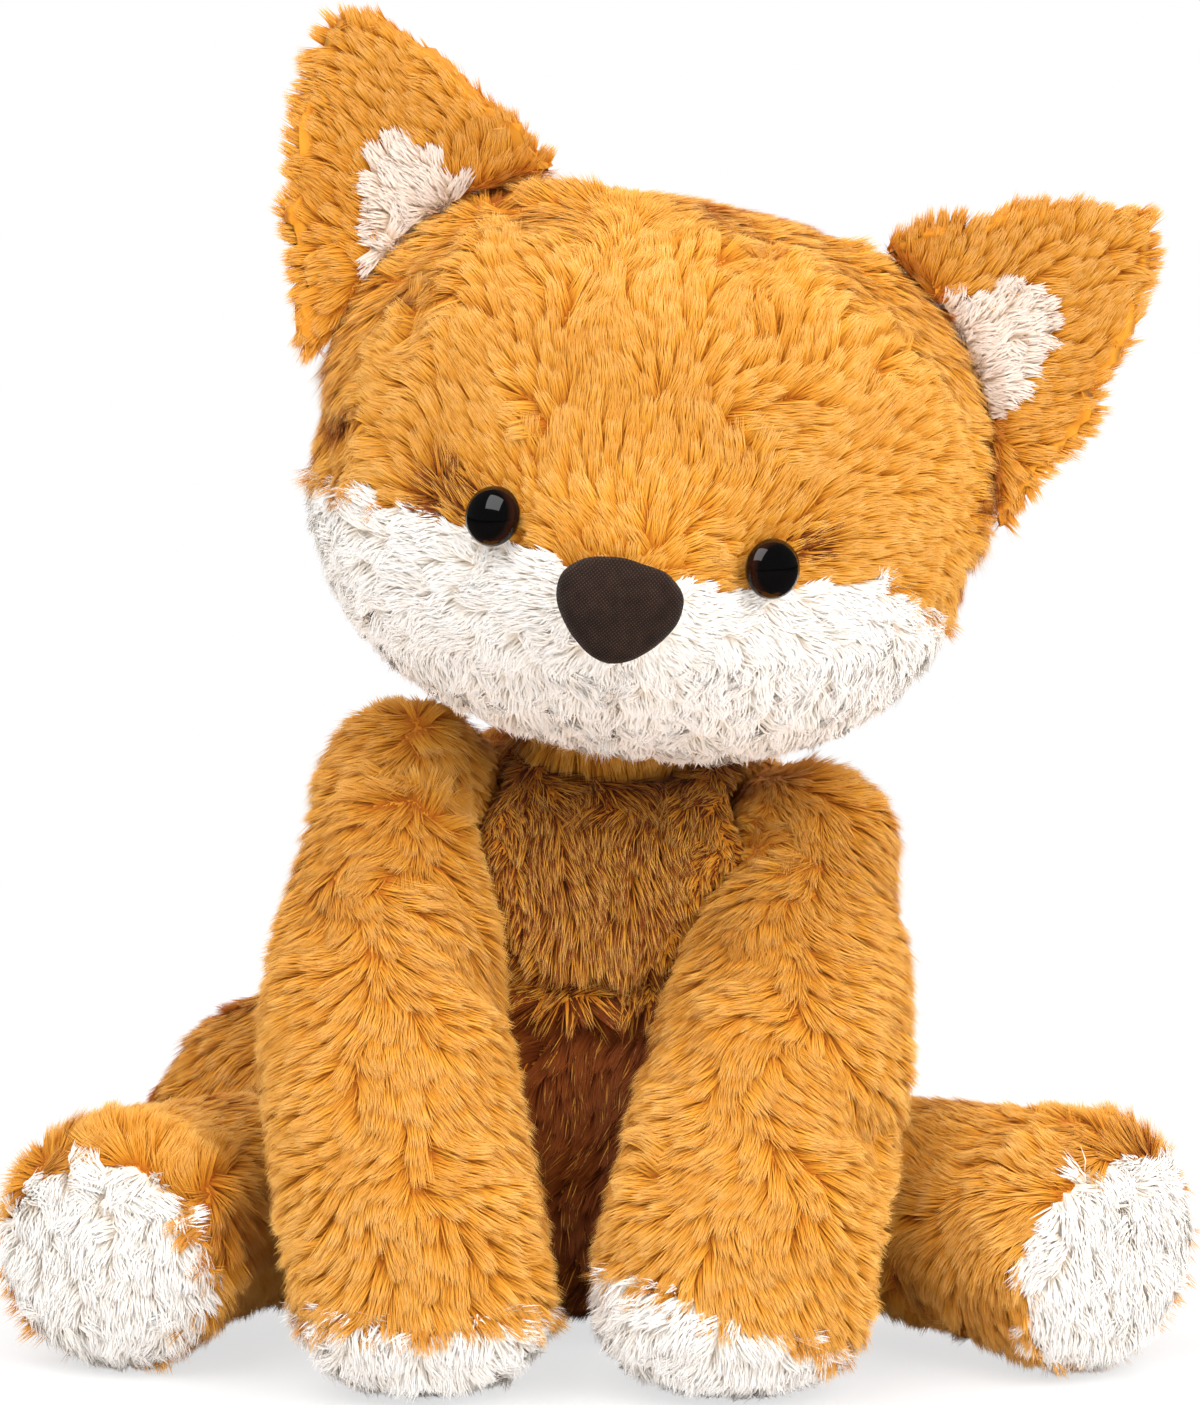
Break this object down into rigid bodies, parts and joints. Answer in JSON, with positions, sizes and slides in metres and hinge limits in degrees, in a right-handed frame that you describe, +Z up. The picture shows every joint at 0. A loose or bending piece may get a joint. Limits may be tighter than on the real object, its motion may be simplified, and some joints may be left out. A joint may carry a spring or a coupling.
{
  "type": "plush fox",
  "caption": "Seated plush fox in orange and white pile fabric: stuffed body, head, arms, legs and curled tail, with plastic eyes and a knit nose.",
  "frame": {"origin": "middle of the flat seat face under the body", "axes": "+Z up, the fox faces -Y, so its own right side is at -X"},
  "size_m": [0.215, 0.1621, 0.2417],
  "materials": {
    "orange_pile": "matte",
    "white_pile": "matte",
    "stuffing": "matte",
    "pellet_bag": "matte",
    "thread": "matte",
    "nose_knit": "matte",
    "eye_plastic": "gloss",
    "washer_plastic": "matte"
  },
  "bodies": {
    "torso": {"body_front": "orange_pile", "body_back": "orange_pile", "body_filling": "stuffing", "seat_bag": "pellet_bag"},
    "neck_turn": {"neck_seam": "thread"},
    "neck_nod": {"neck_filling": "stuffing"},
    "head": {"head_gusset": "orange_pile", "head_side_r": "orange_pile", "head_side_l": "orange_pile", "cheek_r": "white_pile", "cheek_l": "white_pile", "head_filling": "stuffing", "nose": "nose_knit", "eye_r": "eye_plastic", "eye_l": "eye_plastic", "eye_washer_r": "washer_plastic", "eye_washer_l": "washer_plastic"},
    "ear_r": {"ear_outer_r": "orange_pile", "ear_lining_r": "white_pile"},
    "arm_r": {"arm_sleeve_r": "orange_pile", "paw_cap_r": "white_pile", "arm_filling_r": "stuffing"},
    "leg_r": {"leg_sleeve_r": "orange_pile", "sole_r": "white_pile", "leg_filling_r": "stuffing"},
    "ear_l": {"ear_outer_l": "orange_pile", "ear_lining_l": "white_pile"},
    "arm_l": {"arm_sleeve_l": "orange_pile", "paw_cap_l": "white_pile", "arm_filling_l": "stuffing"},
    "leg_l": {"leg_sleeve_l": "orange_pile", "sole_l": "white_pile", "leg_filling_l": "stuffing"},
    "tail": {"tail_sleeve": "orange_pile", "tail_tip": "white_pile", "tail_filling": "stuffing"}
  },
  "joints": [
    {"name": "head_turn", "type": "hinge", "parent": "torso", "child": "neck_turn", "pos_m": [0.003, 0.00388, 0.11027], "axis": [0, -0.4067, 0.9135], "range_deg": [-15, 15], "stiffness_Nm_per_rad": 0.3},
    {"name": "head_nod", "type": "hinge", "parent": "neck_turn", "child": "neck_nod", "pos_m": [0.003, 0.00388, 0.11027], "axis": [1, 0, 0], "range_deg": [-8, 3], "stiffness_Nm_per_rad": 0.4},
    {"name": "head_tilt", "type": "hinge", "parent": "neck_nod", "child": "head", "pos_m": [0.003, 0.00388, 0.11027], "axis": [0, 0.9135, 0.4067], "range_deg": [-4, 4], "stiffness_Nm_per_rad": 0.4},
    {"name": "ear_fold_r", "type": "hinge", "parent": "head", "child": "ear_r", "pos_m": [-0.02865, -0.01812, 0.19532], "axis": [0.9373, 0, 0.3486], "range_deg": [-12, 12], "stiffness_Nm_per_rad": 0.02},
    {"name": "arm_swing_r", "type": "hinge", "parent": "torso", "child": "arm_r", "pos_m": [-0.0352, -0.00369, 0.099], "axis": [-1, 0, 0], "range_deg": [0, 40]},
    {"name": "leg_spread_r", "type": "hinge", "parent": "torso", "child": "leg_r", "pos_m": [-0.03599, 0.0041, 0.0231], "axis": [0, 0, -1], "range_deg": [0, 22], "stiffness_Nm_per_rad": 0.03},
    {"name": "ear_fold_l", "type": "hinge", "parent": "head", "child": "ear_l", "pos_m": [0.05962, -0.01812, 0.17467], "axis": [0.5934, 0, -0.8049], "range_deg": [-12, 12], "stiffness_Nm_per_rad": 0.02},
    {"name": "arm_swing_l", "type": "hinge", "parent": "torso", "child": "arm_l", "pos_m": [0.03828, -0.0041, 0.088], "axis": [-1, 0, 0], "range_deg": [0, 40]},
    {"name": "leg_spread_l", "type": "hinge", "parent": "torso", "child": "leg_l", "pos_m": [0.03599, 0.00599, 0.0231], "axis": [0, 0, 1], "range_deg": [0, 22], "stiffness_Nm_per_rad": 0.03},
    {"name": "tail_wag", "type": "hinge", "parent": "torso", "child": "tail", "pos_m": [-0.00598, 0.03813, 0.0275], "axis": [0, 0, -1], "range_deg": [-3, 25], "stiffness_Nm_per_rad": 0.03}
  ]
}
